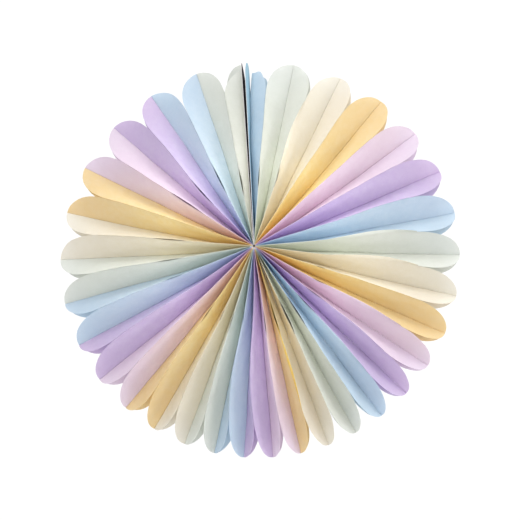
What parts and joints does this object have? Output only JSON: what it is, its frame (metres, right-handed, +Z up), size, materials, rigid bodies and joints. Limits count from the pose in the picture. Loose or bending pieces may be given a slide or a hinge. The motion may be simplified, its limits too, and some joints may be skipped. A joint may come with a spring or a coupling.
{
  "type": "paper fan rosette",
  "caption": "Round hanging decoration of thin pastel paper leaves that fan out from a glued spine into open cells and petals.",
  "frame": {"origin": "the hanging point, between the two cover cards at the top of the seam, 8 mm inside their tips, at mid depth", "axes": "+Z up, -Y towards the viewer of the open face, +X to the viewer's right; the fan's axis runs along Y"},
  "size_m": [0.3998, 0.058, 0.3993],
  "materials": {
    "paper_blue": "thin dyed leaf paper, matte, faintly see-through",
    "paper_mint": "thin dyed leaf paper, matte, faintly see-through",
    "paper_cream": "thin dyed leaf paper, matte, faintly see-through",
    "paper_yellow": "thin dyed leaf paper, matte, faintly see-through",
    "paper_pink": "thin dyed leaf paper, matte, faintly see-through",
    "paper_purple": "thin dyed leaf paper, matte, faintly see-through",
    "cover_card": "thin pale card, matte",
    "closing_tape": "white double-sided tape",
    "spine_glue": "dried white glue"
  },
  "bodies": {
    "root": {"leaves_01_blue": "paper_blue", "leaves_02_mint": "paper_mint", "leaves_03_cream": "paper_cream", "leaves_04_yellow": "paper_yellow", "leaves_05_pink": "paper_pink", "leaves_06_purple": "paper_purple", "leaves_07_blue": "paper_blue", "leaves_08_mint": "paper_mint", "leaves_09_cream": "paper_cream", "leaves_10_yellow": "paper_yellow", "leaves_11_pink": "paper_pink", "leaves_12_purple": "paper_purple", "leaves_13_blue": "paper_blue", "leaves_14_mint": "paper_mint", "leaves_15_cream": "paper_cream", "leaves_16_yellow": "paper_yellow", "leaves_17_pink": "paper_pink", "leaves_18_purple": "paper_purple", "leaves_19_blue": "paper_blue", "leaves_20_mint": "paper_mint", "leaves_21_cream": "paper_cream", "leaves_22_yellow": "paper_yellow", "leaves_23_pink": "paper_pink", "leaves_24_purple": "paper_purple", "leaves_25_blue": "paper_blue", "leaves_26_mint": "paper_mint", "leaves_27_cream": "paper_cream", "leaves_28_yellow": "paper_yellow", "leaves_29_pink": "paper_pink", "leaves_30_purple": "paper_purple", "leaves_31_blue": "paper_blue", "leaves_32_mint": "paper_mint", "cover_card_left": "cover_card", "cover_card_right": "cover_card", "closing_tape": "closing_tape", "spine_glue": "spine_glue"}
  },
  "joints": []
}
